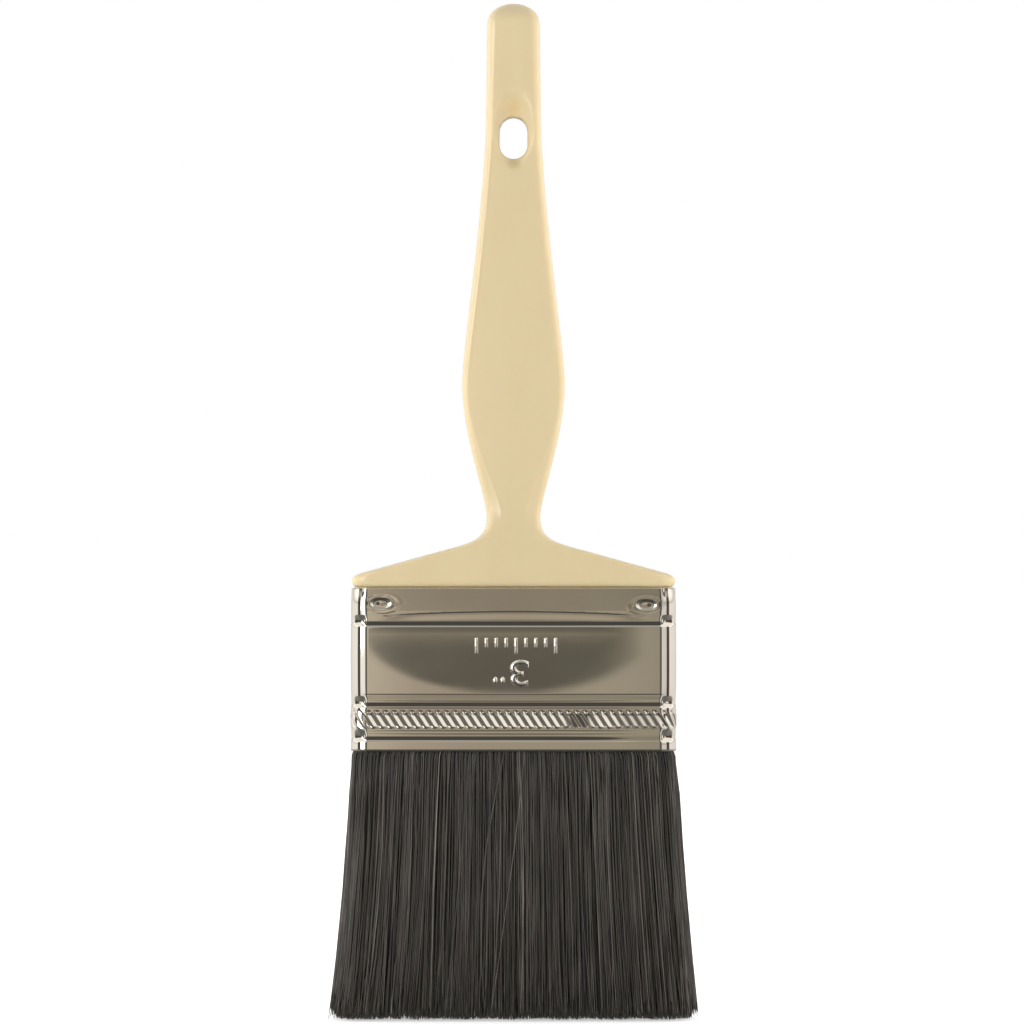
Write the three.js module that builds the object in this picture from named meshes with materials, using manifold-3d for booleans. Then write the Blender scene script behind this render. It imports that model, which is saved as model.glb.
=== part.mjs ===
// A flat 3 inch paint brush: a moulded beavertail handle, a beaded steel ferrule, and three layers of
// filaments held apart by two spacer strips and set in a block of epoxy.
// Millimetres. +Z runs up the handle from the filament tips, +X across the brush, and -Y is the front.
import * as THREE from "three";
import { mergeVertices } from "three/addons/utils/BufferGeometryUtils.js";
import Module from "manifold-3d";

const wasm = await Module();
wasm.setup();

// Driving dimensions
const BRUSH_WIDTH = 76.2; // nominal size, measured over the ferrule
const BRUSH_DEPTH = 16.6; // front to back over the ferrule
const LENGTH_OUT = 62.9; // filaments below the ferrule
const FERRULE_HEIGHT = 37.9;
const OVERALL_LENGTH = 237.5;
const SHEET = 0.4; // ferrule wall
const GAP = 0.3; // room kept between neighbouring pieces
const CORNER = 3.6; // outside corner radius of the ferrule
const CORNER_STEPS = 5;

// Ferrule details
const FERRULE_TOP = LENGTH_OUT + FERRULE_HEIGHT;
const BEAD_DEPTH = 0.3;
const BEAD_HEIGHT = 1.1;
const BEAD_LEVELS = [65.3, 73.2, 92.2];
const FLUTE_BAND = { low: 67.9, high: 72.0, proud: 0.3 };
const STAKE = { x: 31.4, z: 97.0, halfX: 2.6, halfZ: 1.25, depth: 0.9 };

// Handle details
const SHOULDER_HALF_WIDTH = BRUSH_WIDTH / 2 - 0.4;
const TENON_LENGTH = 13.3;
const TENON_ROOT = 0.5; // how far the tenon runs up into the shoulder
const TAIL_ROUNDING = { length: 4.9, least: 0.004 }; // the tail's end rounds off front to back over this length
const HANG_HOLE = { z: 206.2, width: 6.5, height: 10.0 };
const HANG_DISH = { z: 207.5, halfX: 4.7, halfZ: 8.4, depth: 1.6 };

// Filament pack details
const FILAMENT_BUTTS = 80.3; // top of the filaments inside the ferrule
const MOUTH_SWELL = { width: 1.1, within: 3 }; // the pack springs out as soon as it leaves the ferrule
const FLARE = { width: 4.95, depth: 1.5, curve: 1.4 }; // and then spreads this far on each side by the tips
const LAYERS_MEET = 22; // how far below the ferrule the layers close up the room that the spacers left
const FILAMENT_LEVELS = [0, 6, 13, 21, 30, 39, 47, 54, 58.5, 61, LENGTH_OUT - 0.4];
const SPACER = { thickness: 2.0, halfWidth: 33, low: 64.5 };
const EPOXY_THICKNESS = 5.0;
const EASED_EDGE = { middle: 0.8, outer: 0.5, spacer: 0.6 }; // small radii on the layers' and spacers' long edges
const MIDDLE_HALF_DEPTH = { root: 1.45, tip: 2.9 };
const CHISEL_RISE = 2.6; // how much shorter the outer filaments are than the middle ones
const CHISEL_FLAT = 4.6; // half depth of the level part of the tips
const CHISEL_CURVE = 1.5;
const CHISEL_REACH = 20; // the layers' sections are tilted this far up to meet the chiselled tips

const FERRULE_HALF = { x: BRUSH_WIDTH / 2, y: BRUSH_DEPTH / 2 };
const BORE_HALF = { x: FERRULE_HALF.x - SHEET, y: FERRULE_HALF.y - SHEET };
const PACK_HALF = { x: BORE_HALF.x - BEAD_DEPTH - GAP, y: BORE_HALF.y - BEAD_DEPTH - GAP };

const MATERIALS = {
  handle: new THREE.MeshStandardMaterial({ color: 0xe1cea4, roughness: 0.42, metalness: 0 }),
  nickel: new THREE.MeshStandardMaterial({ color: 0xa69d8a, roughness: 0.18, metalness: 1 }),
  filament: new THREE.MeshStandardMaterial({ color: 0x3c3834, roughness: 0.55, metalness: 0 }),
  epoxy: new THREE.MeshStandardMaterial({ color: 0x7a4a1c, roughness: 0.3, metalness: 0 }),
  spacer: new THREE.MeshStandardMaterial({ color: 0xc39a62, roughness: 0.8, metalness: 0 }),
};

// --- solids -------------------------------------------------------------------------------------

function solidOf(geometry) {
  const bare = geometry.clone();
  bare.deleteAttribute("normal");
  bare.deleteAttribute("uv");
  const merged = mergeVertices(bare, 1e-4);
  return new wasm.Manifold(
    new wasm.Mesh({
      numProp: 3,
      vertProperties: merged.attributes.position.array,
      triVerts: new Uint32Array(merged.index.array),
    }),
  );
}

function geometryOf(solid) {
  const mesh = solid.getMesh();
  const geometry = new THREE.BufferGeometry();
  geometry.setAttribute("position", new THREE.BufferAttribute(mesh.vertProperties, 3));
  geometry.setIndex(new THREE.BufferAttribute(mesh.triVerts, 1));
  geometry.computeVertexNormals();
  return geometry;
}

function piece(name, geometry, material) {
  const mesh = new THREE.Mesh(geometry, material);
  mesh.name = name;
  return mesh;
}

// --- outlines -----------------------------------------------------------------------------------

// A rectangle whose corners can be rounded differently along its two long sides.
function roundedStrip(halfX, low, high, lowRadius, highRadius) {
  const shape = new THREE.Shape();
  shape.absarc(halfX - highRadius, high - highRadius, highRadius, 0, Math.PI / 2);
  shape.absarc(-halfX + highRadius, high - highRadius, highRadius, Math.PI / 2, Math.PI);
  shape.absarc(-halfX + lowRadius, low + lowRadius, lowRadius, Math.PI, Math.PI * 1.5);
  shape.absarc(halfX - lowRadius, low + lowRadius, lowRadius, Math.PI * 1.5, Math.PI * 2);
  shape.closePath();
  return shape;
}

function roundedRect(halfX, halfY, radius) {
  return roundedStrip(halfX, -halfY, halfY, radius, radius);
}

// A rounded rectangle that stands inside (or, with a negative inset, outside) the ferrule's outside.
function ferruleOutline(inset) {
  return roundedRect(FERRULE_HALF.x - inset, FERRULE_HALF.y - inset, CORNER - inset);
}

function slab(shape, low, high, steps = 1) {
  const geometry = new THREE.ExtrudeGeometry(shape, {
    depth: high - low,
    steps,
    curveSegments: CORNER_STEPS,
    bevelEnabled: false,
  });
  return geometry.translate(0, 0, low);
}

// A band round the ferrule that stands proud, with its two edges chamfered at 45 degrees.
function proudBand({ low, high, proud }) {
  const block = new THREE.ExtrudeGeometry(ferruleOutline(0), {
    depth: high - low - 2 * proud,
    curveSegments: CORNER_STEPS,
    bevelThickness: proud,
    bevelSize: proud,
    bevelSegments: 1,
  });
  return solidOf(block.translate(0, 0, low + proud));
}

// A square-edged ring between two insets from the ferrule's outside, for cutting a groove.
function ring(outerInset, innerInset, low, high) {
  const block = solidOf(slab(ferruleOutline(outerInset), low, high));
  return block.subtract(solidOf(slab(ferruleOutline(innerInset), low - 1, high + 1)));
}

function stakes(growth) {
  const depth = STAKE.depth + growth;
  const ball = new THREE.SphereGeometry(1, 12, 8);
  let all = null;
  for (const sideX of [-1, 1]) {
    for (const sideY of [-1, 1]) {
      const one = ball.clone().scale(STAKE.halfX + growth, depth, STAKE.halfZ + growth);
      one.translate(sideX * STAKE.x, sideY * FERRULE_HALF.y, STAKE.z);
      all = all ? all.add(solidOf(one)) : solidOf(one);
    }
  }
  return all;
}

// --- ferrule ------------------------------------------------------------------------------------

function ferruleGeometry() {
  let outside = solidOf(slab(ferruleOutline(0), LENGTH_OUT, FERRULE_TOP)).add(proudBand(FLUTE_BAND));
  let inside = solidOf(slab(ferruleOutline(SHEET), LENGTH_OUT - 1, FERRULE_TOP + 1));
  for (const level of BEAD_LEVELS) {
    const low = level - BEAD_HEIGHT / 2;
    const high = level + BEAD_HEIGHT / 2;
    outside = outside.subtract(ring(-1, BEAD_DEPTH, low, high));
    inside = inside.subtract(ring(0, SHEET + BEAD_DEPTH, low - SHEET, high + SHEET));
  }
  const wall = outside.subtract(inside);
  const bosses = stakes(SHEET).intersect(outside);
  return geometryOf(wall.add(bosses).subtract(stakes(0)));
}

// --- handle -------------------------------------------------------------------------------------

// Half of the front outline, from the edge of the shoulder up to the tail. x is the half width, y the height.
function handleOutline() {
  const path = new THREE.CurvePath();
  const at = (x, y) => new THREE.Vector2(x, y);
  const join = (curve) => path.add(curve);
  const edge = at(SHOULDER_HALF_WIDTH, FERRULE_TOP);
  const shoulderTop = at(SHOULDER_HALF_WIDTH - 0.1, 103.0);
  const slopeLow = at(34.9, 104.5);
  const slopeHigh = at(13.5, 110.4);
  const neck = at(6.2, 117.4);
  const grip = at(11.95, 148.3);
  const tail = at(6.4, 208.0);
  const endStart = at(6.1, 232.6);
  const tip = at(0.3, OVERALL_LENGTH);
  join(new THREE.LineCurve(edge, shoulderTop));
  join(new THREE.QuadraticBezierCurve(shoulderTop, at(37.3, 103.9), slopeLow));
  join(new THREE.LineCurve(slopeLow, slopeHigh));
  join(new THREE.CubicBezierCurve(slopeHigh, at(8.7, 111.7), at(6.2, 113.0), neck));
  join(new THREE.CubicBezierCurve(neck, at(6.4, 122.8), at(11.95, 136.5), grip));
  join(new THREE.CubicBezierCurve(grip, at(11.95, 156.5), at(7.4, 184), tail));
  join(new THREE.LineCurve(tail, endStart));
  join(new THREE.CubicBezierCurve(endStart, at(6.1, 235.4), at(3.4, OVERALL_LENGTH), tip));
  return path;
}

// How many rings each stretch of the outline gets, in the same order.
const HANDLE_RINGS = [1, 3, 5, 5, 7, 7, 2, 6];

// Half depth of the handle at a height: the shoulder, the neck, the swell of the grip and the tail.
const HANDLE_DEPTHS = new THREE.SplineCurve(
  [
    [FERRULE_TOP, 7.95],
    [106, 7.8],
    [118, 6.2],
    [132, 6.3],
    [150, 6.7],
    [180, 5.9],
    [208, 5.1],
    [OVERALL_LENGTH, 4.6],
  ].map(([z, half]) => new THREE.Vector2(z, half)),
);

// Radius of the handle's long edges: soft on the grip, and nearly the whole side at the neck.
const EDGE_RADII = new THREE.SplineCurve(
  [
    [FERRULE_TOP, 3.3],
    [106, 3.6],
    [118, 4.6],
    [132, 3.4],
    [150, 2.6],
    [208, 2.6],
    [OVERALL_LENGTH, 2.6],
  ].map(([z, radius]) => new THREE.Vector2(z, radius)),
);

// The value of a curve at a height, found by halving the stretch that it lies in.
const HALVINGS = 40;

function valueAt(curve, z) {
  let low = 0;
  let high = 1;
  for (let i = 0; i < HALVINGS; i += 1) {
    const middle = (low + high) / 2;
    if (curve.getPoint(middle).x < z) low = middle;
    else high = middle;
  }
  return curve.getPoint(low).y;
}

function handleRings() {
  const path = handleOutline();
  const rings = [];
  path.curves.forEach((curve, i) => {
    const count = HANDLE_RINGS[i];
    for (let k = 0; k < count; k += 1) rings.push(curve.getPoint(k / count));
  });
  rings.push(path.curves.at(-1).getPoint(1));
  return rings;
}

// A cylinder whose rings are drawn out to the handle's rounded rectangle at each height.
function handleBody() {
  const rings = handleRings();
  const around = 4 * CORNER_STEPS;
  const halfStep = Math.PI / around;
  const body = new THREE.CylinderGeometry(1, 1, 1, around, rings.length - 1, false, halfStep);
  body.rotateX(Math.PI / 2);
  const position = body.attributes.position;
  for (let i = 0; i < position.count; i += 1) {
    const x = position.getX(i);
    const y = position.getY(i);
    const ring = rings[Math.round((position.getZ(i) + 0.5) * (rings.length - 1))];
    const tailEnd = THREE.MathUtils.clamp((OVERALL_LENGTH - ring.y) / TAIL_ROUNDING.length, 0, 1);
    const rounding = Math.sqrt(Math.max(TAIL_ROUNDING.least, 1 - (1 - tailEnd) ** 2));
    const halfY = valueAt(HANDLE_DEPTHS, ring.y) * rounding;
    const radius = Math.min(valueAt(EDGE_RADII, ring.y), ring.x, halfY);
    const reach = Math.hypot(x, y);
    position.setXY(
      i,
      reach * Math.sign(x) * (ring.x - radius) + x * radius,
      reach * Math.sign(y) * (halfY - radius) + y * radius,
    );
    position.setZ(i, ring.y);
  }
  return solidOf(body);
}

function slotShape(width, height) {
  const shape = new THREE.Shape();
  const straight = (height - width) / 2;
  shape.absarc(0, straight, width / 2, 0, Math.PI);
  shape.absarc(0, -straight, width / 2, Math.PI, Math.PI * 2);
  shape.closePath();
  return shape;
}

// The hang hole: a slot right through, and a shallow dish scooped around its mouth on both faces.
function hangHole() {
  const half = valueAt(HANDLE_DEPTHS, HANG_HOLE.z);
  const through = new THREE.ExtrudeGeometry(slotShape(HANG_HOLE.width, HANG_HOLE.height), {
    depth: 4 * half,
    curveSegments: 2 * CORNER_STEPS,
    bevelEnabled: false,
  });
  through.translate(0, 0, -2 * half).rotateX(Math.PI / 2).translate(0, 0, HANG_HOLE.z);
  let cut = solidOf(through);
  for (const side of [-1, 1]) {
    const dish = new THREE.SphereGeometry(1, 4 * CORNER_STEPS, 2 * CORNER_STEPS);
    dish.scale(HANG_DISH.halfX, HANG_DISH.depth, HANG_DISH.halfZ);
    cut = cut.add(solidOf(dish.translate(0, side * half, HANG_DISH.z)));
  }
  return cut;
}

function handleTenon() {
  const inset = SHEET + GAP;
  const low = FERRULE_TOP - TENON_LENGTH;
  let tenon = solidOf(slab(ferruleOutline(inset), low, FERRULE_TOP + TENON_ROOT));
  const level = BEAD_LEVELS.at(-1);
  const grooveHalf = BEAD_HEIGHT / 2 + SHEET + GAP;
  tenon = tenon.subtract(ring(0, inset + BEAD_DEPTH, level - grooveHalf, level + grooveHalf));
  return tenon.subtract(stakes(SHEET + GAP));
}

function handleGeometry() {
  return geometryOf(handleBody().subtract(hangHole()).add(handleTenon()));
}

// --- filament pack ------------------------------------------------------------------------------

// How much wider the pack is, on each side, at a distance below the ferrule.
function spreadAt(below) {
  const swell = MOUTH_SWELL.width * (1 - Math.exp(-below / MOUTH_SWELL.within));
  return swell + FLARE.width * (below / LENGTH_OUT) ** FLARE.curve;
}

// One layer across the brush. It runs straight down inside the ferrule and spreads below it, and the filaments
// near its outer faces are cut a little shorter.
function filamentLayer(shape, depthAt) {
  const levels = [...FILAMENT_LEVELS, FILAMENT_BUTTS];
  const layer = slab(shape, 0, levels.length - 1, levels.length - 1);
  const position = layer.attributes.position;
  const deepest = PACK_HALF.y + MOUTH_SWELL.width + FLARE.depth;
  for (let i = 0; i < position.count; i += 1) {
    const z = levels[Math.round(position.getZ(i))];
    const below = Math.max(0, LENGTH_OUT - GAP - z);
    const x = position.getX(i) * (1 + spreadAt(below) / PACK_HALF.x);
    const y = depthAt(position.getY(i), below);
    const share = Math.max(0, Math.abs(y) - CHISEL_FLAT) / (deepest - CHISEL_FLAT);
    const rise = CHISEL_RISE * share ** CHISEL_CURVE * Math.max(0, 1 - z / CHISEL_REACH);
    position.setXYZ(i, x, y, z + rise);
  }
  return layer;
}

const closing = (below) => Math.min(1, below / LAYERS_MEET);

function middleFilaments() {
  const { root, tip } = MIDDLE_HALF_DEPTH;
  const shape = roundedRect(PACK_HALF.x, root, EASED_EDGE.middle);
  return filamentLayer(shape, (y, below) => y * (1 + (tip / root - 1) * closing(below)));
}

// side is -1 for the front layer and 1 for the back one.
function outerFilaments(side) {
  const inner = MIDDLE_HALF_DEPTH.root + SPACER.thickness + 2 * GAP;
  const outer = PACK_HALF.y;
  const round = CORNER - SHEET - BEAD_DEPTH - GAP;
  const shape =
    side > 0
      ? roundedStrip(PACK_HALF.x, inner, outer, EASED_EDGE.outer, round)
      : roundedStrip(PACK_HALF.x, -outer, -inner, round, EASED_EDGE.outer);
  const innerTip = MIDDLE_HALF_DEPTH.tip + GAP;
  return filamentLayer(shape, (y, below) => {
    const share = (side * y - inner) / (outer - inner);
    const low = inner + (innerTip - inner) * closing(below);
    const high = outer + (spreadAt(below) * FLARE.depth) / FLARE.width;
    return side * (low + (high - low) * share);
  });
}

function spacerStrip(side) {
  const { thickness, halfWidth, low } = SPACER;
  const strip = slab(roundedRect(halfWidth, thickness / 2, EASED_EDGE.spacer), low, FILAMENT_BUTTS);
  return strip.translate(0, side * (MIDDLE_HALF_DEPTH.root + GAP + thickness / 2), 0);
}

function epoxyBlock() {
  const low = FILAMENT_BUTTS + GAP;
  return slab(ferruleOutline(SHEET + GAP), low, low + EPOXY_THICKNESS);
}

// --- assembly -----------------------------------------------------------------------------------

const brush = new THREE.Group();
brush.add(
  piece("handle", handleGeometry(), MATERIALS.handle),
  piece("ferrule", ferruleGeometry(), MATERIALS.nickel),
  piece("epoxy_setting", epoxyBlock(), MATERIALS.epoxy),
  piece("front_spacer", spacerStrip(-1), MATERIALS.spacer),
  piece("back_spacer", spacerStrip(1), MATERIALS.spacer),
  piece("front_filaments", outerFilaments(-1), MATERIALS.filament),
  piece("middle_filaments", middleFilaments(), MATERIALS.filament),
  piece("back_filaments", outerFilaments(1), MATERIALS.filament),
);

export default brush;
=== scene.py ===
"""A flat 3 inch paint brush: cream moulded handle, beaded nickel ferrule and dark filaments.

Lengths are millimetres until a mesh is written, and metres after that.
"""

import math

import bmesh
import bpy
import numpy as np
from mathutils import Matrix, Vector, noise
from mathutils.geometry import interpolate_bezier


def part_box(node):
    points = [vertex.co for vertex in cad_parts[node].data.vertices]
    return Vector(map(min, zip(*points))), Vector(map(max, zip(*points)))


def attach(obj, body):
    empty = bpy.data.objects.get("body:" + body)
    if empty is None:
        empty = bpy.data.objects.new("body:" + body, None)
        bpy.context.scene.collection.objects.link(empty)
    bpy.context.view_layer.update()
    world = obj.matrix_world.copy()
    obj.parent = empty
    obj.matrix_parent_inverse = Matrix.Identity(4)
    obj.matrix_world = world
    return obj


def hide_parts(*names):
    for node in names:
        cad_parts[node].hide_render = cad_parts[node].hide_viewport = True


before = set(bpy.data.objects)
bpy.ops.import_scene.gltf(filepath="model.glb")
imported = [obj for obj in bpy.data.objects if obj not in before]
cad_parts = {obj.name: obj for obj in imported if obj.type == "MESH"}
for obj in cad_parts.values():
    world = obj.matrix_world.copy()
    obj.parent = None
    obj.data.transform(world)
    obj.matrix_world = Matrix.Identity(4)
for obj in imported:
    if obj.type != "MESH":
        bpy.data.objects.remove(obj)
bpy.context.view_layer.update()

MM = 0.001

# --- sizes read from the frame ------------------------------------------------------------------

ferrule_low, ferrule_high = (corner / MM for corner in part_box("ferrule"))
handle_low, handle_high = (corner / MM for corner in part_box("handle"))
MOUTH = ferrule_low.z  # where the filaments leave the ferrule
FERRULE_TOP = ferrule_high.z
TENON_FOOT = handle_low.z
TAIL_END = handle_high.z
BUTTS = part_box("front_filaments")[1].z / MM  # upper ends of the filaments

# --- sizes of the brush -------------------------------------------------------------------------

HALF_WIDTH = 37.9  # of the plain ferrule wall
HALF_DEPTH = 8.3
CORNER = 4.0  # outside radius of the ferrule's corners
SHEET = 0.4  # thickness of the ferrule's sheet

HANG_HOLE = {"z": 205.9, "radius": 3.25, "straight": 1.75}  # straight is half the length of its straight sides
HANG_DISH = {"z": 208.3, "half_x": 4.7, "half_z": 9.1, "depth": 2.1}  # the scoop round the hole
HOLE_LIP = 0.5  # radius of the hole's rounded edge
TAIL_FLAT_END = 1.8  # how far from the side the tail's flat face ends

MOUTH_SWELL = {"width": 1.0, "within": 0.8}  # the filaments spring out as soon as they leave the ferrule
FLARE = {"width": 4.95, "depth": 1.5, "curve": 1.4, "left_curve": 1.75}  # and spread on the way down
LAYERS_MEET = 18.0  # how far below the ferrule the layers close up the room that the spacers left

SHARP_ANGLE = 50  # degrees; edges that turn more than this stay sharp
COINCIDENT = 1e-7  # metres
SAME_HEIGHT = 1e-5  # metres


# --- small tools --------------------------------------------------------------------------------


def smooth_line(points, at):
    """The value at each place of a smooth line drawn through the points."""
    xs, ys = np.array(points, float).T
    slopes = np.gradient(ys, xs)
    i = np.clip(np.searchsorted(xs, at) - 1, 0, len(xs) - 2)
    span = xs[i + 1] - xs[i]
    t = np.clip((at - xs[i]) / span, 0, 1)
    return (
        ys[i] * (2 * t**3 - 3 * t**2 + 1)
        + ys[i + 1] * (3 * t**2 - 2 * t**3)
        + slopes[i] * span * (t**3 - 2 * t**2 + t)
        + slopes[i + 1] * span * (t**3 - t**2)
    )


def ease(low, high, at):
    """0 below low, 1 above high, and smooth between."""
    t = np.clip((at - low) / (high - low), 0, 1)
    return t * t * (3 - 2 * t)


def bump(middle, reach, at):
    """A smooth rise to 1 at the middle that is 0 beyond its reach."""
    return 0.5 + 0.5 * np.cos(np.pi * np.clip(np.abs(at - middle) / reach, 0, 1))


def start_piece(name):
    piece = bpy.context.object
    piece.name = piece.data.name = name
    return piece


def read_points(piece):
    points = np.empty(len(piece.data.vertices) * 3)
    piece.data.vertices.foreach_get("co", points)
    return points.reshape(-1, 3)


def write_points(piece, points):
    piece.data.vertices.foreach_set("co", np.ascontiguousarray(points, dtype=np.float32).ravel())
    piece.data.update()


def rolled_sheet(name, columns, rows, place):
    """A flat grid that is rolled round until its side edges meet. place(column, row) gives each point."""
    bpy.ops.object.select_all(action="DESELECT")
    bpy.ops.mesh.primitive_grid_add(x_subdivisions=columns, y_subdivisions=rows, size=1)
    piece = start_piece(name)
    flat = read_points(piece)
    column = np.rint((flat[:, 0] + 0.5) * columns).astype(int) % columns
    row = np.rint((flat[:, 1] + 0.5) * rows).astype(int)
    write_points(piece, place(column, row) * MM)
    bpy.ops.object.mode_set(mode="EDIT")
    bpy.ops.mesh.select_all(action="SELECT")
    bpy.ops.mesh.remove_doubles(threshold=COINCIDENT)
    bpy.ops.object.mode_set(mode="OBJECT")
    return piece


def turn_out_and_smooth(piece):
    """Turns every face outwards and smooths all but the sharp edges."""
    bpy.ops.object.select_all(action="DESELECT")
    piece.select_set(True)
    bpy.context.view_layer.objects.active = piece
    bpy.ops.object.mode_set(mode="EDIT")
    bpy.ops.mesh.select_all(action="SELECT")
    bpy.ops.mesh.normals_make_consistent(inside=False)
    bpy.ops.object.mode_set(mode="OBJECT")
    bpy.ops.object.shade_smooth_by_angle(angle=math.radians(SHARP_ANGLE))


def finish_piece(piece, slot, material, *nodes):
    """Puts a finished piece on the brush in place of the frame's plain nodes."""
    piece.data.materials.clear()
    piece.data.materials.append(material)
    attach(piece, "root")
    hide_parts(*nodes)


# --- nodes of materials and of the room ---------------------------------------------------------


def add_node(tree, kind, wires=None, **settings):
    """A node with its settings, or the values of its sockets, and with wires from other nodes."""
    node = tree.nodes.new(kind)
    for key, value in settings.items():
        if hasattr(node, key):
            setattr(node, key, value)
        else:
            node.inputs[key.replace("_", " ")].default_value = value
    for socket, source in (wires or {}).items():
        tree.links.new(source, node.inputs[socket])
    return node


def add_ramp(tree, factor, *stops):
    """A colour ramp. A stop is a place from 0 to 1, and a colour or a shade of grey."""
    node = add_node(tree, "ShaderNodeValToRGB", {"Fac": factor})
    elements = node.color_ramp.elements
    while len(elements) < len(stops):
        elements.new(0.5)
    for element, (place, colour) in zip(elements, stops):
        element.position = place
        element.color = (colour, colour, colour, 1) if isinstance(colour, (int, float)) else (*colour, 1)
    return node.outputs["Color"]


def add_mix(tree, first, second, factor=1.0, blend="MULTIPLY"):
    """Two colours mixed. Each of them, and the factor, is a value or comes by a wire."""
    node = add_node(tree, "ShaderNodeMix", data_type="RGBA", blend_type=blend)
    for socket, source in (("A", first), ("B", second), ("Factor", factor)):
        if isinstance(source, (float, tuple)):
            node.inputs[socket].default_value = source
        else:
            tree.links.new(source, node.inputs[socket])
    return node.outputs["Result"]


# --- materials ----------------------------------------------------------------------------------


class Finish:
    """A material under construction: one shader, and the patterns that feed it."""

    def __init__(self, name, **values):
        self.material = bpy.data.materials.new(name)
        self.material.use_nodes = True
        self.tree = self.material.node_tree
        self.shader = self.tree.nodes["Principled BSDF"]
        for socket, value in values.items():
            self.shader.inputs[socket.replace("_", " ")].default_value = value

    def add(self, kind, wires=None, **settings):
        return add_node(self.tree, kind, wires, **settings)

    def ramp(self, factor, *stops):
        return add_ramp(self.tree, factor, *stops)

    def use(self, socket, source):
        self.tree.links.new(source, self.shader.inputs[socket])

    def stretched(self, x=1, y=1, z=1):
        """The piece's own coordinates, stretched so that patterns run along it or across it."""
        place = self.add("ShaderNodeTexCoord").outputs["Object"]
        return self.add("ShaderNodeMapping", {"Vector": place}, Scale=(x, y, z)).outputs["Vector"]

    def noise(self, over, detail, roughness, scale=1.0):
        wires = {"Vector": over}
        pattern = self.add("ShaderNodeTexNoise", wires, Scale=scale, Detail=detail, Roughness=roughness)
        return pattern.outputs["Fac"]

    def relief(self, height, strength, distance):
        bumps = self.add("ShaderNodeBump", {"Height": height}, Strength=strength, Distance=distance)
        self.use("Normal", bumps.outputs["Normal"])

    def patch(self, middle, reach, colour, tint):
        """The colour, multiplied by a tint in a soft-edged oval patch of the piece."""
        place = self.add("ShaderNodeTexCoord").outputs["Object"]
        sizes = tuple(1 / size for size in reach)
        shift = tuple(-along * size for along, size in zip(middle, sizes))
        oval = self.add("ShaderNodeMapping", {"Vector": place}, Location=shift, Scale=sizes).outputs["Vector"]
        ball = self.add("ShaderNodeTexGradient", {"Vector": oval}, gradient_type="QUADRATIC_SPHERE")
        wires = {"Value": ball.outputs["Fac"]}
        soft = self.add("ShaderNodeMapRange", wires, interpolation_type="SMOOTHSTEP", From_Max=0.45)
        return add_mix(self.tree, colour, (*tint, 1.0), soft.outputs["Result"])


def handle_plastic():
    """Cream moulded plastic with a soft shine, faint flow marks, light handling scuffs, a painted glow above
    the hang hole and a painted shadow under it.
    """
    finish = Finish(
        "cream_moulded_plastic",
        IOR=1.49,
        Specular_IOR_Level=0.85,
        Subsurface_Weight=0.5,
        Subsurface_Scale=0.003,
        Subsurface_Radius=(1.0, 0.6, 0.3),
    )
    flow = finish.noise(finish.stretched(60, 60, 14), detail=4.0, roughness=0.55)
    tone = finish.ramp(flow, (0.3, (0.595, 0.487, 0.286)), (0.7, (0.630, 0.520, 0.312)))
    # painted warm glow above the hang hole, standing in for light through the thin plastic, and painted shadow
    # just under the hole
    painted_glow = finish.patch((0, 0, 0.2130), (0.005, 0.02, 0.004), tone, (1.08, 1.0, 0.86))
    painted_shadow = finish.patch((0, 0, 0.1996), (0.003, 0.02, 0.0026), painted_glow, (0.84, 0.80, 0.72))
    finish.use("Base Color", painted_shadow)
    scuffs = finish.noise(finish.stretched(300, 300, 90), detail=5.0, roughness=0.6)
    finish.use("Roughness", finish.ramp(scuffs, (0.35, 0.28), (0.72, 0.40)))
    skin = finish.noise(finish.stretched(), detail=2.0, roughness=0.5, scale=2600.0)
    finish.relief(skin, strength=0.08, distance=0.00006)
    return finish.material


def nickel_plate():
    """Bright nickel with faint drawing lines, a slight haze and small handling marks."""
    finish = Finish("bright_nickel_plate", Metallic=1.0)
    haze = finish.noise(finish.stretched(45, 45, 70), detail=5.0, roughness=0.6)
    finish.use("Base Color", finish.ramp(haze, (0.3, (0.70, 0.645, 0.55)), (0.7, (0.76, 0.71, 0.62))))
    finish.use("Roughness", finish.ramp(haze, (0.35, 0.02), (0.75, 0.045)))
    lines = finish.noise(finish.stretched(90, 90, 2600), detail=4.0, roughness=0.6)
    finish.relief(lines, strength=0.02, distance=0.00001)
    return finish.material


def dark_filament():
    """Black-brown tapered filament: each strand has its own tone, with painted shade close under the ferrule
    and painted highlight and shade streaks along the strands.
    """
    finish = Finish("dark_tapered_filament", IOR=1.5)
    strand = finish.add("ShaderNodeAttribute", attribute_name="strand_shade").outputs["Fac"]
    height = finish.add("ShaderNodeAttribute", attribute_name="strand_height").outputs["Fac"]
    tone = finish.ramp(
        strand,
        (0.0, (0.046, 0.040, 0.034)),
        (0.5, (0.108, 0.097, 0.080)),
        (0.82, (0.225, 0.205, 0.172)),
        (1.0, (0.50, 0.47, 0.42)),
    )
    # painted shade: the strands are darker close under the ferrule
    shade_under_ferrule = finish.ramp(height, (0.0, 0.64), (0.25, 0.62), (0.55, 0.64), (1.0, 0.52))
    # painted highlights and shade: brighter and darker patches along the strands stand in for strands catching
    # the light
    highlight_patches = finish.noise(finish.stretched(900, 900, 75), detail=3.0, roughness=0.6)
    painted_light_streaks = finish.ramp(highlight_patches, (0.3, 0.6), (0.7, 1.45))
    finish.use("Base Color", add_mix(finish.tree, add_mix(finish.tree, tone, shade_under_ferrule), painted_light_streaks))
    fine = finish.noise(finish.stretched(2500, 2500, 300), detail=2.0, roughness=0.5)
    finish.use("Roughness", finish.ramp(fine, (0.3, 0.34), (0.7, 0.52)))
    finish.relief(fine, strength=0.15, distance=0.00002)
    return finish.material


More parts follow.
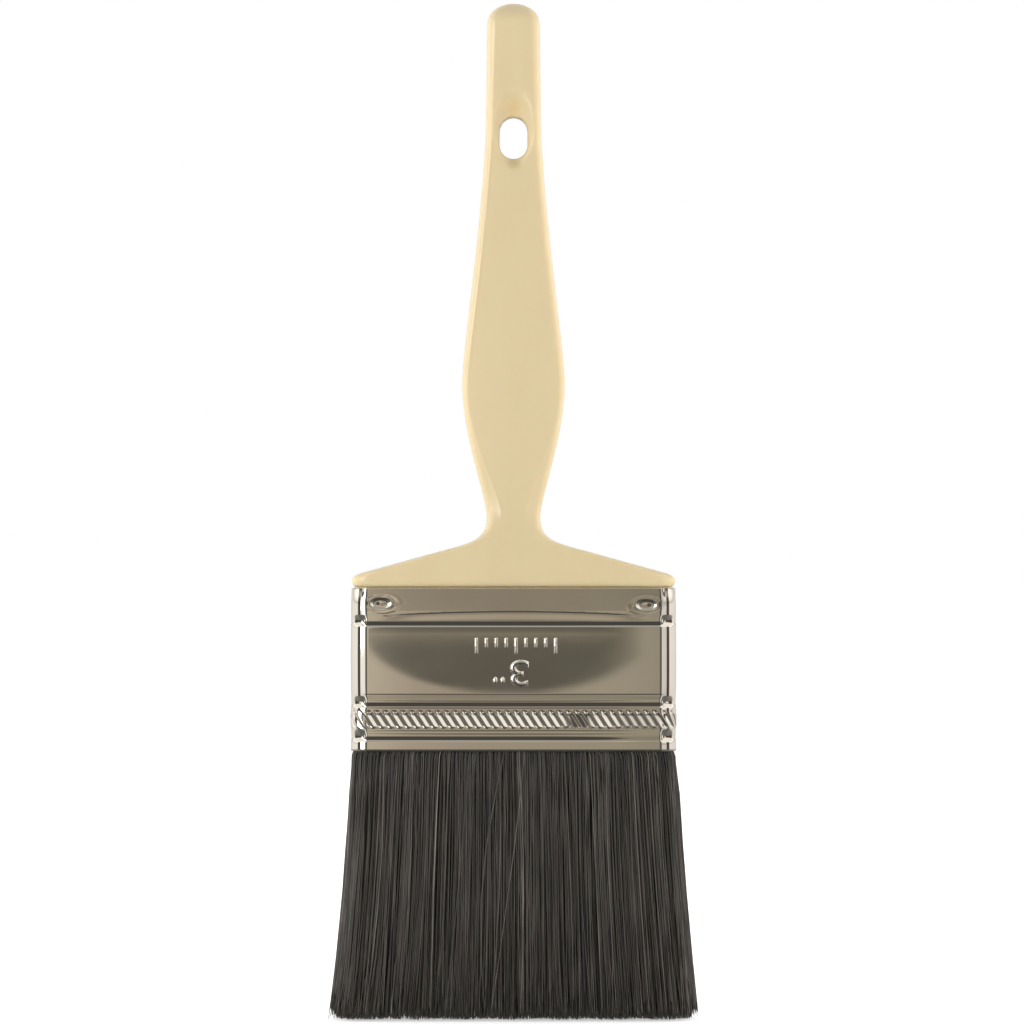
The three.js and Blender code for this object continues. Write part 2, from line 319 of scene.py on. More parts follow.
def setting_epoxy():
    """Amber-brown epoxy with clouding and a few bubbles near the surface."""
    finish = Finish("set_epoxy", IOR=1.55, Coat_Weight=0.4)
    clouds = finish.noise(finish.stretched(), detail=5.0, roughness=0.6, scale=160.0)
    finish.use("Base Color", finish.ramp(clouds, (0.3, (0.10, 0.036, 0.008)), (0.75, (0.27, 0.12, 0.035))))
    finish.use("Roughness", finish.ramp(clouds, (0.3, 0.18), (0.75, 0.34)))
    bubbles = finish.add("ShaderNodeTexVoronoi", {"Vector": finish.stretched()}, Scale=900.0)
    pits = finish.ramp(bubbles.outputs["Distance"], (0.0, 0), (0.35, 1))
    finish.relief(pits, strength=0.4, distance=0.0001)
    return finish.material


def spacer_wood():
    """Thin poplar strip with straight grain and small pores."""
    finish = Finish("poplar_strip", IOR=1.45)
    grain = finish.noise(finish.stretched(40, 1400, 1400), detail=6.0, roughness=0.6)
    dark, middle, light = (0.33, 0.19, 0.085), (0.52, 0.33, 0.165), (0.66, 0.46, 0.26)
    finish.use("Base Color", finish.ramp(grain, (0.3, dark), (0.55, middle), (0.8, light)))
    finish.use("Roughness", finish.ramp(grain, (0.3, 0.85), (0.8, 0.65)))
    finish.relief(grain, strength=0.35, distance=0.0002)
    return finish.material


# --- handle -------------------------------------------------------------------------------------

CORNER_PARTS = 8  # columns round each long edge
FLAT_SHARES = [1, 0.93, 0.75, 0.5, 0.25, 0]  # columns over half a broad face, from its edge to its middle
FACET_SHARES = [0.75, 0.5, 0.25, 0.1]  # columns over the facet beside it
SIDE_SHARES = [0, 0.07, 0.6]  # columns from the middle of a side towards its edge
PARTING_RIDGE = 0.07  # height of the mould's parting line along the two sides
RIDGE_GROWS = (0.3, 2)  # half widths at which the line begins and is whole
PARTING_SHARE = 0.1  # columns nearer the middle of a side than this are on the ridge

# half of the front outline as Bezier stretches: start, its handle, the end's handle, end, and number of rings
OUTLINE = [
    ((37.7, 101.1), (37.7, 101.4), (37.7, 101.8), (37.69, 102.1), 7),
    ((37.69, 102.1), (37.67, 102.4), (37.63, 102.7), (37.6, 103.0), 2),
    ((37.6, 103.0), (37.4, 103.6), (36.5, 104.1), (34.9, 104.5), 7),
    ((34.9, 104.5), (27.8, 106.45), (20.6, 108.45), (13.5, 110.4), 12),
    ((13.5, 110.4), (8.7, 111.7), (6.2, 113.0), (6.2, 117.4), 16),
    ((6.2, 117.4), (6.4, 122.8), (11.95, 136.5), (11.95, 148.3), 30),
    ((11.95, 148.3), (11.95, 156.5), (7.4, 184.0), (6.4, 208.0), 44),
    ((6.4, 208.0), (6.3, 216.2), (6.2, 224.4), (6.1, 232.6), 16),
    ((6.1, 232.6), (6.1, 235.4), (3.4, 237.5), (0.3, 237.5), 14),
]

# height and half depth, and how much the broad faces are crowned
HALF_DEPTHS = [(100.8, 7.95), (106, 7.8), (112, 6.95), (118, 6.2), (132, 6.3), (150, 6.7)]
HALF_DEPTHS += [(180, 5.9), (208, 5.1), (237.5, 4.6)]
CROWNS = [(100.8, 0.0), (106, 0.05), (118, 0.1), (140, 0.32), (160, 0.32), (190, 0.18), (237.5, 0.12)]

# height and how far from the side the flat face ends, the slope beyond it, and the radii of the edge
FLAT_ENDS = [(100.8, 4.1), (106, 3.2), (112, 3.1), (116, 3.45), (118.6, 3.6), (121, 3.4), (125.4, 2.9)]
FLAT_ENDS += [(130, 2.3), (137.8, 1.6), (141, 1.45), (148, 1.5), (165, 1.7), (208, 1.8), (237.5, 2.4)]
FACET_SLOPES = [(100.8, 0.0), (113, 0.0), (116.8, 0.06), (118.8, 0.2), (125, 0.2), (132, 0.22), (138, 0.22)]
FACET_SLOPES += [(143, 0.05), (148, 0.0), (237.5, 0.0)]
ARRIS_RISES = [(100.8, 0), (116.2, 0), (118.4, 0.15), (121, 0.12), (129, 0.06), (136, 0.03), (142, 0)]
ARRIS_RISES += [(237.5, 0)]
# how much of the rise each column beside the arris takes
ARRIS_ON_FLAT = {1: 0.6, 0.93: 0.15}
ARRIS_ON_FACET = {0.1: 1.0, 0.25: 0.5}
EDGE_ACROSS = [(100.8, 3.7), (103, 3.5), (106, 2.0), (112, 1.5), (128, 1.4), (141, 1.3), (165, 1.5)]
EDGE_ACROSS += [(208, 1.55), (237.5, 2.2)]
EDGE_IN_DEPTH = [(100.8, 3.7), (106, 3.0), (112, 2.4), (140, 2.5), (160, 2.4), (237.5, 2.3)]
HEM = {"z": 101.1, "height": 1.6, "depth": 0.85}  # the rounded edge that sits above the ferrule
TAIL_ROUNDING = {"length": 4.9, "least": 0.004}  # how the tail's end rounds off, front to back
# the largest share of the half width, of the flat face's end and of the half depth that each may take
MOST = {"flat_end": 0.85, "across": 0.95, "in_depth": 0.9}

# the tenon's corner radius, and how far it stands inside the ferrule's outline
TENON = {"radius": 3.3, "in_x": 0.6, "in_y": 0.7}
# height of each ring of the tenon and how far it is cut in: the eased foot, the groove and the root
TENON_RINGS = [(TENON_FOOT, 1.0), (TENON_FOOT + 0.3, 0.3), (TENON_FOOT + 1.0, 0.0), (90.9, 0.0), (91.0, 0.3)]
TENON_RINGS += [(93.4, 0.3), (93.5, 0.0), (FERRULE_TOP - 0.4, 0.0), (FERRULE_TOP - 0.2, 0.7)]
TENON_RINGS += [(FERRULE_TOP + 0.3, 0.7)]


def ring_columns():
    """For each column round a section: its signs, and its shares of flat, facet, edge and side."""
    quarter = [(1, 1, 1, 0, share) for share in SIDE_SHARES]
    for k in range(CORNER_PARTS):
        angle = math.radians(90 * k / CORNER_PARTS)
        quarter.append((1, 1, math.cos(angle), math.sin(angle), 1))
    quarter.extend((1, share, 0, 1, 1) for share in FACET_SHARES)
    quarter.extend((share, 0, 0, 1, 1) for share in FLAT_SHARES)
    columns = []
    for sign_x, sign_y, backwards in ((1, 1, False), (-1, 1, True), (-1, -1, False), (1, -1, True)):
        part = quarter[::-1] if backwards else quarter
        columns.extend((sign_x, sign_y, *shares) for shares in part)
    following = columns[1:] + columns[:1]
    kept = [column for column, after in zip(columns, following) if not same_place(column, after)]
    return np.array(kept, float)


def same_place(first, second):
    """Whether two columns lie on each other, at the middle of a flat or of a side."""
    both_flat = first[2] == 0 and second[2] == 0 and first[1] == second[1]
    both_side = first[6] == 0 and second[6] == 0 and first[0] == second[0]
    return both_flat or both_side


def tenon_rings():
    """The same values as handle_rings gives, for the part inside the ferrule."""
    rings = []
    for z, cut in TENON_RINGS:
        radius = TENON["radius"] - cut * 0.8
        half_width = HALF_WIDTH - TENON["in_x"] - cut
        half_depth = HALF_DEPTH - TENON["in_y"] - cut
        rings.append((z, half_width, half_depth, radius + 0.2, 0, radius, radius, 0, 0))
    return rings


def handle_rings():
    """Height, half width, half depth, flat end, facet slope, edge radii, crown and arris of every ring."""
    rings = []
    for start, first, second, end, count in OUTLINE:
        corners = [Vector((*point, 0)) for point in (start, first, second, end)]
        rings.extend(interpolate_bezier(*corners, count + 1)[:-1])
    rings.append(Vector((*OUTLINE[-1][3], 0)))
    half_width = np.array([ring.x for ring in rings])
    height = np.array([ring.y for ring in rings])
    end_share = np.clip((TAIL_END - height) / TAIL_ROUNDING["length"], 0, 1)
    rounding = np.sqrt(np.maximum(TAIL_ROUNDING["least"], 1 - (1 - end_share) ** 2))
    half_depth = smooth_line(HALF_DEPTHS, height) * rounding
    flat_end = np.minimum(smooth_line(FLAT_ENDS, height), half_width * MOST["flat_end"])
    slope = smooth_line(FACET_SLOPES, height)
    across = np.minimum(smooth_line(EDGE_ACROSS, height), flat_end * MOST["across"])
    in_depth = np.minimum(smooth_line(EDGE_IN_DEPTH, height), half_depth * MOST["in_depth"])
    hem_share = np.clip((height - HEM["z"]) / HEM["height"], 0, 1)
    hem = HEM["depth"] * (1 - np.sqrt(1 - (1 - hem_share) ** 2))
    half_width = half_width - hem
    half_depth = half_depth - hem
    crown = smooth_line(CROWNS, height) * rounding
    arris = np.interp(height, *zip(*ARRIS_RISES))
    body = np.column_stack([height, half_width, half_depth, flat_end, slope, across, in_depth, crown, arris])
    return np.vstack([tenon_rings(), body])


# --- hang hole ----------------------------------------------------------------------------------

WINDOW = (197.6, 217.8)  # the stretch of the tail that is opened for the hang hole
WINDOW_MARGIN = 2  # its edges lie within this of the stretch
BROAD_FACE = 3  # whatever lies further than this from the middle plane is on a broad face
TAIL_HALF_WIDTHS = [(198, 6.95), (208, 6.4), (218, 6.28)]
SHARES_IN = (0.18, 0.36, 0.54, 0.7, 0.85, 1.0)  # loops from the window's edge in to the hole
LIP_TURNS = (22.5, 45, 67.5, 90)  # degrees round the hole's rounded edge
HOLE_MERGE = 2e-6  # metres


def dish_depth(x, z):
    """How deep the scoop round the hang hole is at a place on the handle's face."""
    share = 1 - (x / HANG_DISH["half_x"]) ** 2 - ((z - HANG_DISH["z"]) / HANG_DISH["half_z"]) ** 2
    return HANG_DISH["depth"] * np.clip(share, 0, 1)


def hole_edge(angle, widen):
    """The point where a ray from the middle of the hang hole meets its edge, the edge widened by a little."""
    radius, straight = HANG_HOLE["radius"] + widen, HANG_HOLE["straight"]
    across, up = math.cos(angle), math.sin(angle)
    if radius * abs(up) <= straight * abs(across):
        return math.copysign(radius, across), HANG_HOLE["z"] + radius * up / abs(across)
    reach = straight * abs(up) + math.sqrt(radius**2 - (straight * across) ** 2)
    return reach * across, HANG_HOLE["z"] + reach * up


def tail_flat_half(z):
    """Half width of the tail's flat face."""
    return np.interp(z, *zip(*TAIL_HALF_WIDTHS)) - TAIL_FLAT_END


def handle_face(x, z):
    """Half depth of the tail's face, with its crown, round the hang hole."""
    crown = smooth_line(CROWNS, np.array([z]))[0] * (1 - (x / tail_flat_half(z)) ** 2)
    return smooth_line(HALF_DEPTHS, np.array([z]))[0] + crown


def hole_loops():
    """Loops from the window's edge down to the middle of the hole: share of the way in, widening, and depth."""
    loops = [(share, HOLE_LIP, 0.0) for share in SHARES_IN]
    for angle in LIP_TURNS:
        turn = math.radians(angle)
        loops.append((1.0, HOLE_LIP * (1 - math.sin(turn)), HOLE_LIP * (1 - math.cos(turn))))
    return [*loops, (1.0, 0.0, None)]


def open_hang_hole(piece):
    """Cuts a window in both faces of the tail and draws its edges in to meet in the middle of the hole."""
    bpy.ops.object.mode_set(mode="EDIT")
    bpy.ops.mesh.select_mode(type="FACE")
    bpy.ops.mesh.select_all(action="DESELECT")
    mesh = bmesh.from_edit_mesh(piece.data)
    for face in mesh.faces:
        middle = face.calc_center_median() / MM
        half = max(abs(v.co.x) for v in face.verts) / MM
        in_stretch = WINDOW[0] < middle.z < WINDOW[1] and abs(middle.y) > BROAD_FACE
        face.select = in_stretch and half < window_half(middle.z)
    bmesh.update_edit_mesh(piece.data)
    bpy.ops.mesh.delete(type="FACE")
    bpy.ops.mesh.select_mode(type="EDGE")
    for side in (-1, 1):
        draw_hole_in(piece, side)
    bpy.ops.mesh.select_all(action="SELECT")
    bpy.ops.mesh.remove_doubles(threshold=HOLE_MERGE)
    bpy.ops.object.mode_set(mode="OBJECT")


def window_half(z):
    """Half width of the window: just outside the last column but one of the flat face."""
    return tail_flat_half(z) * (FLAT_SHARES[0] + FLAT_SHARES[1]) / 2


def draw_hole_in(piece, side):
    """Extrudes the window's edge in one broad face, loop by loop, to the middle of the hole."""
    bpy.ops.mesh.select_all(action="DESELECT")
    mesh = bmesh.from_edit_mesh(piece.data)
    for edge in mesh.edges:
        middle = (edge.verts[0].co + edge.verts[1].co) / 2 / MM
        near = WINDOW[0] - WINDOW_MARGIN < middle.z < WINDOW[1] + WINDOW_MARGIN
        edge.select_set(edge.is_boundary and near and middle.y * side > BROAD_FACE)
    bmesh.update_edit_mesh(piece.data)
    start = {}
    for share, widen, depth in hole_loops():
        bpy.ops.mesh.extrude_region_move(TRANSFORM_OT_translate={"value": (0, 0, 0)})
        mesh = bmesh.from_edit_mesh(piece.data)
        for v in (v for v in mesh.verts if v.select):
            x, z = v.co.x / MM, v.co.z / MM
            angle = math.atan2(z - HANG_HOLE["z"], x)
            # a point keeps its direction from loop to loop, so the direction finds where it set out
            from_x, from_z = start.setdefault(round(angle, 4), (x, z))
            edge_x, edge_z = hole_edge(angle, widen)
            new_x = from_x + (edge_x - from_x) * share
            new_z = from_z + (edge_z - from_z) * share
            face_y = handle_face(new_x, new_z) - dish_depth(new_x, new_z)
            new_y = 0 if depth is None else side * (face_y - depth)
            v.co = Vector((new_x, new_y, new_z)) * MM
        bmesh.update_edit_mesh(piece.data)


def make_handle(material):
    columns = ring_columns()
    rings = handle_rings()

    def place(column, row):
        height, half_width, half_depth, flat_end, slope, across, in_depth, crown, arris = rings[row].T
        sign_x, sign_y, flat, facet, round_x, round_y, side = columns[column].T
        x = flat * (half_width - flat_end) + facet * (flat_end - across) + round_x * across
        fall = slope * facet * (flat_end - across)
        y = side * (half_depth - in_depth - fall * (facet == 1)) + round_y * in_depth - fall * (facet < 1)
        y += crown * np.clip(1 - flat**2, 0, 1) * (facet == 0)
        for share, part in ARRIS_ON_FLAT.items():
            y += arris * part * ((flat == share) & (facet == 0))
        for share, part in ARRIS_ON_FACET.items():
            y += arris * part * (facet == share)
        ridge = PARTING_RIDGE * ease(*RIDGE_GROWS, half_width) * (side < PARTING_SHARE)
        x += ridge * (height > FERRULE_TOP + 0.5)
        y -= dish_depth(x, height) * (facet == 0) * (height > FERRULE_TOP)
        return np.column_stack([x * sign_x, y * sign_y, height])

    piece = rolled_sheet("moulded_handle", len(columns), len(rings) - 1, place)
    open_hang_hole(piece)
    cap_ends(piece)
    turn_out_and_smooth(piece)
    finish_piece(piece, "handle_plastic", material, "handle")


def cap_ends(piece):
    """Closes the open ring at each end of a rolled piece."""
    bpy.ops.object.mode_set(mode="EDIT")
    bpy.ops.mesh.select_mode(type="EDGE")
    for lowest in (True, False):
        bpy.ops.mesh.select_all(action="DESELECT")
        mesh = bmesh.from_edit_mesh(piece.data)
        heights = [v.co.z for v in mesh.verts]
        end = min(heights) if lowest else max(heights)
        for edge in mesh.edges:
            at_end = all(abs(v.co.z - end) < SAME_HEIGHT for v in edge.verts)
            edge.select_set(edge.is_boundary and at_end)
        bmesh.update_edit_mesh(piece.data)
        bpy.ops.mesh.edge_face_add()
    bpy.ops.object.mode_set(mode="OBJECT")


# --- ferrule ------------------------------------------------------------------------------------

FLUTES = 88
PARTS_PER_FLUTE = 8
FLUTE_SLANT = math.tan(math.radians(32))
FLUTE_BAND = (68.0, 72.8)
FLUTE_MIDDLE = 70.3
RIB = {"rise": 0.31, "mean": 0.6, "sunk": 0.1}  # the ribs stand out and sink in about their mean height
RIB_FOOT = (0.3, 0.75)  # the ribs rise over this stretch above the band's lower edge
RIB_HEAD = (1.45, 1.0)  # and end over this stretch below its upper edge
PITS = {"depth": 0.2, "from_top": 0.75, "reach": 0.45}
WORN_SPOT = {"x": 15.3, "reach": 6.5, "loss": 0.6}  # where the ribs are pressed less firmly
WEAK_END = {"from": 21.5, "to": 26, "loss": 0.42}
BAND_RISE = 0.04
BAND_EDGE = 0.5
STEEP_SHARE = 0.375  # of each flute is its steep flank
# height of the bottom of each groove, its depth, and how much of that it has lost at the right end
GROOVES = [(92.2, 0.33, 0.35), (73.3, 0.33, 0.15), (65.4, 0.2, 0.8)]
GROOVE_ABOVE = 1.0  # the upper wall of a groove slopes, the lower one is steep
GROOVE_BELOW = 0.2
PINCH = {"above": 1.0, "reach": 1.6, "depth": 0.36}  # the dents in the corners
# how far the narrow sides and corners step out below each groove, and heights above it
SIDE_STEP = {"depth": 0.1, "starts": (-0.25, 0.55), "ends": (0.7, 4.5)}
SWELLS = [(73.9, 76.0, 0.02), (66.0, 67.8, 0.02)]  # from, to, height
LEDGES = [(95.4, 0.075, 0.75, 29), (76.15, 0.045, 0.0, 40)]  # height, fall, how far it bows, how far it runs
PANEL = (76.3, 91.4)
PANEL_CROWN = 0.05
LEDGE = 0.14  # half the height over which a ledge falls away
LEDGE_RETURN = 2.2  # the sheet is back in its place this far below
LEDGE_SPAN = 27  # how far from the middle a ledge has dropped by its bow
CRIMP_FOOT = 95.5  # the band above this is crimped on to the handle
LEAN_IN = math.tan(math.radians(1.6))  # of that band
LEAN_OUT = math.tan(math.radians(2.0))  # of the sheet below the next height, at the mouth
LEAN_OUT_TOP = 65.2
GROOVES_FADE = (8, 30)  # the grooves lose depth between these places, going right
UPPER_TILT = math.tan(math.radians(1.2))  # of the strip between the upper ledge and the upper groove
UPPER_STRIP = {"height": 2.2, "foot": (92.0, 92.3)}
CRIMPED_CORNER = {"depth": 0.4, "over": (97.5, 101.5)}
FACE_BOW = 0.36  # how far each broad face bows out at its middle
STAKES = {"x": 30.9, "z": 97.3, "drop": 0.35, "half_x": 2.65, "half_z": 1.3, "depth": 0.25}
STAKE_ISLAND = {"rise": 0.09, "reach": 0.5}  # the raised middle of a stake
STAKE_RINGS = {"height": 0.02, "turns": 9, "middle": 1.15, "width": 0.5}  # the faint rings round it
# how squarely the sheet faces front or back where each working begins and where it is whole
BROAD = (0.93, 1.0)
CRIMPED = (0.4, 0.75)
PINCHED = (0.5, 0.82)
PINCH_ENDS = (0.97, 1.0)
SQUARE = 0.999
SEAM = {"depth": 0.06, "width": 0.3}
WAVES = {"height": 0.006, "lengths": (22, 8, 13)}

FLAT_X = HALF_WIDTH - CORNER
FLAT_Y = HALF_DEPTH - CORNER
QUARTER = CORNER * math.pi / 2
GIRTH = 4 * (FLAT_X + FLAT_Y + QUARTER)


def on_outline(length):
    """Point and outward direction on the ferrule's outline, a length round it from its right side."""
    length = np.mod(length, GIRTH)
    half = GIRTH / 2
    mirrored = length > half
    along = np.where(mirrored, length - half, length)
    ends = np.cumsum([FLAT_Y, QUARTER, 2 * FLAT_X, QUARTER, FLAT_Y])
    angle = np.clip((along - ends[0]) / CORNER, 0, math.pi / 2)
    angle = angle + np.clip((along - ends[2]) / CORNER, 0, math.pi / 2)
    normal_x, normal_y = np.cos(angle), np.sin(angle)
    x = FLAT_X - np.clip(along - ends[1], 0, 2 * FLAT_X) + CORNER * normal_x
    y = np.clip(along, 0, FLAT_Y) - np.clip(along - ends[3], 0, FLAT_Y) + CORNER * normal_y
    sign = np.where(mirrored, -1.0, 1.0)
    return x * sign, y * sign, normal_x * sign, normal_y * sign


def ferrule_heights():
    """Heights of the rows on the outside of the ferrule: close together wherever the sheet is worked."""
    # from, to, and how many rows
    stretches = [(MOUTH + 0.15, 64.8, 4), (64.8, 68.05, 17), (68.05, 72.5, 17), (72.5, 76.5, 21)]
    stretches += [(76.5, 91.5, 12), (91.5, 93.2, 12), (93.2, 94.4, 4), (94.4, 95.7, 11)]
    stretches += [(95.7, FERRULE_TOP - 0.1, 15)]
    heights = [np.linspace(low, high, count, endpoint=False) for low, high, count in stretches]
    return np.concatenate([*heights, [FERRULE_TOP - 0.1, FERRULE_TOP - 0.03]])


def ferrule_rows():
    """Height and standing-out of every row: up the outside, over the lip, down inside, under the mouth."""
    outside = [(z, 0.0) for z in ferrule_heights()]
    lip = [(FERRULE_TOP, -0.03), (FERRULE_TOP, -0.2), (FERRULE_TOP - 0.03, -SHEET)]
    inside = [(z, -SHEET - 0.04) for z in (FERRULE_TOP - 2, 94, 84, 74, 66)] + [(MOUTH + 0.8, -SHEET)]
    mouth = [(MOUTH + 0.06, -SHEET + 0.02), (MOUTH, -SHEET + 0.12), (MOUTH, -0.12), (MOUTH + 0.05, -0.03)]
    rows = outside + lip + inside + mouth
    return np.array([*rows, rows[0]]), len(outside)


def worked_profile(x, z, broad, corner, pinched):
    """How far the grooves, swells, ledges and bands stand out at each place."""
    out = -LEAN_IN * np.clip(z - CRIMP_FOOT, 0, None)
    out += LEAN_OUT * np.clip(LEAN_OUT_TOP - z, 0, None)
    for height, depth, lost in GROOVES:
        reach = np.where(z > height, GROOVE_ABOVE, GROOVE_BELOW)
        out -= depth * (1 - lost * ease(*GROOVES_FADE, x)) * bump(height, reach, z) * broad
        out -= PINCH["depth"] * bump(height + PINCH["above"], PINCH["reach"], z) * pinched
        (start, whole), (fading, gone) = SIDE_STEP["starts"], SIDE_STEP["ends"]
        step = ease(height + start, height + whole, z) * (1 - ease(height + fading, height + gone, z))
        out -= SIDE_STEP["depth"] * step * (1 - broad)
    out -= CRIMPED_CORNER["depth"] * ease(*CRIMPED_CORNER["over"], z) * corner
    for low, high, rise in SWELLS:
        out += rise * bump((low + high) / 2, (high - low) / 2, z)
    for height, fall, bow, reach in LEDGES:
        level = height - bow * (x / LEDGE_SPAN) ** 2
        below = ease(level - LEDGE_RETURN, level - LEDGE, z) * (1 - ease(level - LEDGE, level + LEDGE, z))
        out -= fall * below * broad * (1 - ease(reach - 8, reach + 3, np.abs(x)))
    out += UPPER_TILT * np.clip(LEDGES[0][0] - z, 0, UPPER_STRIP["height"]) * ease(*UPPER_STRIP["foot"], z)
    across = (z - sum(PANEL) / 2) / ((PANEL[1] - PANEL[0]) / 2)
    out += PANEL_CROWN * np.clip(1 - across**2, 0, 1)
    low, high = FLUTE_BAND
    band = ease(low, low + BAND_EDGE, z) * (1 - ease(high - BAND_EDGE, high, z))
    return out + BAND_RISE * band


def flute_relief(column, x, z, facing):
    """Slanting ribs with flat flanks, pressed less firmly at the right, and a row of pits along their tops."""
    share = np.mod(column / PARTS_PER_FLUTE, 1)
    rib = np.where(share < STEEP_SHARE, share / STEEP_SHARE, (1 - share) / (1 - STEEP_SHARE))
    worn = WORN_SPOT["loss"] * bump(WORN_SPOT["x"], WORN_SPOT["reach"], x)
    firm = 1 - facing * (worn + WEAK_END["loss"] * ease(WEAK_END["from"], WEAK_END["to"], x))
    low, high = FLUTE_BAND
    within = ease(low + RIB_FOOT[0], low + RIB_FOOT[1], z)
    within = within * (1 - ease(high - RIB_HEAD[0], high - RIB_HEAD[1], z))
    pits = np.clip(np.cos(2 * np.pi * (share + 0.12)), 0, 1) * bump(high - PITS["from_top"], PITS["reach"], z)
    return RIB["rise"] * ((rib - RIB["mean"]) * firm - RIB["sunk"]) * within - PITS["depth"] * pits


def stake_relief(x, z):
    """Oval stakes pressed in near the upper corners, with faint sink rings round them."""
    level = STAKES["z"] - STAKES["drop"] * (x > 0)
    reach = np.hypot((np.abs(x) - STAKES["x"]) / STAKES["half_x"], (z - level) / STAKES["half_z"])
    pressed = -STAKES["depth"] * (1 - ease(0.62, 1.0, reach))
    island = STAKE_ISLAND["rise"] * (1 - ease(0.0, STAKE_ISLAND["reach"], reach))
    within = np.exp(-((reach - STAKE_RINGS["middle"]) / STAKE_RINGS["width"]) ** 2)
    rings = STAKE_RINGS["height"] * np.cos((reach - 1.0) * STAKE_RINGS["turns"]) * within
    return pressed + island + rings


def slow_waves(x, y, z):
    """The slight unevenness that drawn sheet always has."""
    places = np.column_stack([x, y, z]) / WAVES["lengths"]
    return WAVES["height"] * np.array([noise.noise(Vector(place)) for place in places])


def make_ferrule(material):
    columns = FLUTES * PARTS_PER_FLUTE
    rows, outside_rows = ferrule_rows()

    def place(column, row):
        z, out = rows[row].T
        outside = (row < outside_rows) | (row == len(rows) - 1)
        shear = np.clip(z, *FLUTE_BAND) - FLUTE_MIDDLE
        length = column * GIRTH / columns - shear * FLUTE_SLANT
        x, y, normal_x, normal_y = on_outline(length)
        squareness = np.abs(normal_y)
        facing = squareness > SQUARE
        broad = ease(*BROAD, squareness)
        corner = (1 - broad) * ease(*CRIMPED, squareness)
        pinched = (1 - ease(*PINCH_ENDS, squareness)) * ease(*PINCHED, squareness)
        bow = FACE_BOW * facing * np.clip(1 - (x / FLAT_X) ** 2, 0, 1)
        relief = worked_profile(x, z, broad, corner, pinched) + facing * stake_relief(x, z)
        relief += flute_relief(column, x, z, facing)
        relief += slow_waves(x, y, z)
        seam = SEAM["depth"] * np.exp(-((y / SEAM["width"]) ** 2)) * (normal_x > SQUARE)
        out = out + bow + outside * (relief - seam)
        out -= ~outside * LEAN_IN * np.clip(z - CRIMP_FOOT, 0, None)
        return np.column_stack([x + normal_x * out, y + normal_y * out, z])

    piece = rolled_sheet("beaded_ferrule", columns, len(rows) - 1, place)
    turn_out_and_smooth(piece)
    join_size_mark(piece)
    finish_piece(piece, "nickel_steel", material, "ferrule")


# --- size mark on the ferrule -------------------------------------------------------------------

MARK_RISE = 0.36
MARK_SHIFT = 0.6  # the row of ticks sits this far right of the middle
DOTS = {"at": (-4.2, -2.5), "half_x": 0.6, "half_z": 1.0, "drop": 2.1}
NUMERAL_SUNK = 0.34  # the round bar that the numeral is drawn with is sunk this far into the sheet
SCALE_TICKS = {"count": 9, "pitch": 2.3, "z": 87.4, "long": 4.0, "short": 2.6, "width": 0.85}
SIZE_NUMERAL = {"text": "3", "size": 8.4, "x": 1.3, "z": 81.4}


def panel_face(x):
    return -(HALF_DEPTH + FACE_BOW * (1 - (x / FLAT_X) ** 2))


def raised_tick(x, length):
    """One short raised bar with softened edges, standing on the front panel."""
    bpy.ops.mesh.primitive_cube_add(size=1)
    tick = start_piece("scale_tick")
    bpy.ops.object.mode_set(mode="EDIT")
    bpy.ops.transform.resize(value=(SCALE_TICKS["width"] * MM, 2 * MARK_RISE * MM, length * MM))
    bpy.ops.mesh.bevel(offset=0.33 * MM, segments=4, affect="EDGES")
    top = SCALE_TICKS["z"] + SCALE_TICKS["long"] / 2 - length / 2
    bpy.ops.transform.translate(value=(x * MM, panel_face(x) * MM, top * MM))
    bpy.ops.object.mode_set(mode="OBJECT")
    return tick


def raised_numeral():
    """The nominal size in inches, a plain numeral that reads with the brush hanging tips up."""
    bpy.ops.object.text_add()
    numeral = start_piece("size_numeral")
    curve = numeral.data
    curve.body = SIZE_NUMERAL["text"]
    curve.align_x, curve.align_y = "CENTER", "CENTER"
    curve.size = SIZE_NUMERAL["size"] * MM
    curve.bevel_depth = (MARK_RISE + NUMERAL_SUNK) * MM
    curve.bevel_resolution = 5
    curve.offset = -NUMERAL_SUNK * MM
    curve.resolution_u = 12
    numeral_y = panel_face(SIZE_NUMERAL["x"]) + NUMERAL_SUNK
    numeral.location = Vector((SIZE_NUMERAL["x"], numeral_y, SIZE_NUMERAL["z"])) * MM
    numeral.rotation_euler = (math.radians(90), math.radians(180), 0)
    numeral.scale.x = 1.25
    bpy.ops.object.convert(target="MESH")
    bpy.ops.object.transform_apply(location=True, rotation=True, scale=True)
    return numeral


def inch_dot(x):
    """One of the two short raised dots beside the numeral."""
    bpy.ops.mesh.primitive_uv_sphere_add(segments=16, ring_count=10, radius=1)
    dot = start_piece("inch_dash")
    dot.scale = Vector((DOTS["half_x"], MARK_RISE, DOTS["half_z"])) * MM
    dot.location = Vector((x, panel_face(x), SIZE_NUMERAL["z"] - DOTS["drop"])) * MM
    bpy.ops.object.transform_apply(location=True, rotation=False, scale=True)
    return dot


def join_size_mark(ferrule):
    bpy.ops.object.select_all(action="DESELECT")
    marks = [raised_numeral(), *(inch_dot(x) for x in DOTS["at"])]
    middle = (SCALE_TICKS["count"] - 1) / 2
    for k in range(SCALE_TICKS["count"]):
        length = SCALE_TICKS["long"] if k % 4 == 0 else SCALE_TICKS["short"]
        marks.append(raised_tick((k - middle) * SCALE_TICKS["pitch"] + MARK_SHIFT, length))
    for mark in marks:
        turn_out_and_smooth(mark)
    bpy.ops.object.select_all(action="DESELECT")
    for mark in marks:
        mark.select_set(True)
    ferrule.select_set(True)
    bpy.context.view_layer.objects.active = ferrule
    bpy.ops.object.join()


# --- filaments ----------------------------------------------------------------------------------

STRAND_RINGS = 9  # rings along a strand
